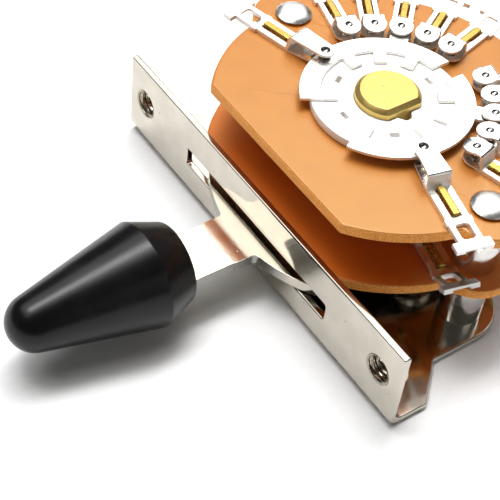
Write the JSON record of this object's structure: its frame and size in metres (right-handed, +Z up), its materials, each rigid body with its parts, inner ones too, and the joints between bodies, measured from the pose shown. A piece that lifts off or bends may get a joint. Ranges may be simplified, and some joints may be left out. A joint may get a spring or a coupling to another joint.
{
  "type": "guitar pickup selector switch",
  "caption": "Lever-operated rotary wafer switch on a folded mounting frame: a side-to-side lever with a black tip turns two stacked wafer decks with ringed solder lugs.",
  "frame": {"origin": "midway between the two panel screw holes, on the front face of the mounting plate", "axes": "+X along the mounting plate, +Y back from its front face towards the shaft and decks, +Z up, normal to the foot that it lies on"},
  "size_m": [0.0472, 0.0624, 0.0177],
  "materials": {
    "nickel_steel": "nickel-plated sheet steel, satin to bright",
    "bright_nickel": "bright nickel-plated turned tube",
    "spring_steel": "plain spring steel, satin",
    "ball_steel": "polished steel ball",
    "black_plastic": "moulded black plastic, half gloss",
    "brass": "plain brass, cut and burred end",
    "staple_brass": "plain brass wire strip, bright",
    "silver_plate": "silver-plated spring brass",
    "phenolic": "orange-brown paper phenolic sheet, satin, fibrous cut edges",
    "white_plastic": "white moulded plastic"
  },
  "bodies": {
    "frame": {"mounting_frame": "nickel_steel", "rivet_left": "nickel_steel", "rivet_right": "nickel_steel", "pillar_left": "bright_nickel", "pillar_right": "bright_nickel", "spacer_left": "bright_nickel", "spacer_right": "bright_nickel", "lower_wafer": "phenolic", "lower_staples": "staple_brass", "lower_common_b": "silver_plate", "lower_common_a": "silver_plate", "lower_throw_b1": "silver_plate", "lower_throw_a1": "silver_plate", "lower_throw_b2": "silver_plate", "lower_throw_a2": "silver_plate", "lower_throw_b3": "silver_plate", "lower_throw_a3": "silver_plate", "lower_throw_b4": "silver_plate", "lower_throw_a4": "silver_plate", "lower_throw_b5": "silver_plate", "lower_throw_a5": "silver_plate", "upper_wafer": "phenolic", "upper_staples": "staple_brass", "upper_common_b": "silver_plate", "upper_common_a": "silver_plate", "upper_throw_b1": "silver_plate", "upper_throw_a1": "silver_plate", "upper_throw_b2": "silver_plate", "upper_throw_a2": "silver_plate", "upper_throw_b3": "silver_plate", "upper_throw_a3": "silver_plate", "upper_throw_b4": "silver_plate", "upper_throw_a4": "silver_plate", "upper_throw_b5": "silver_plate", "upper_throw_a5": "silver_plate"},
    "lever": {"lever": "nickel_steel", "lever_tip": "black_plastic", "shaft": "brass", "detent_spring": "spring_steel", "detent_ball_left": "ball_steel", "detent_ball_right": "ball_steel", "lower_rotor": "white_plastic", "lower_rotor_collar": "white_plastic", "lower_blade_a": "silver_plate", "lower_blade_b": "silver_plate", "upper_rotor": "white_plastic", "upper_rotor_collar": "white_plastic", "upper_blade_a": "silver_plate", "upper_blade_b": "silver_plate"}
  },
  "joints": [
    {"name": "lever_turn", "type": "hinge", "parent": "frame", "child": "lever", "pos_m": [0, 0.015, 0], "axis": [0, 0, 1], "range_deg": [-30, 30]}
  ]
}
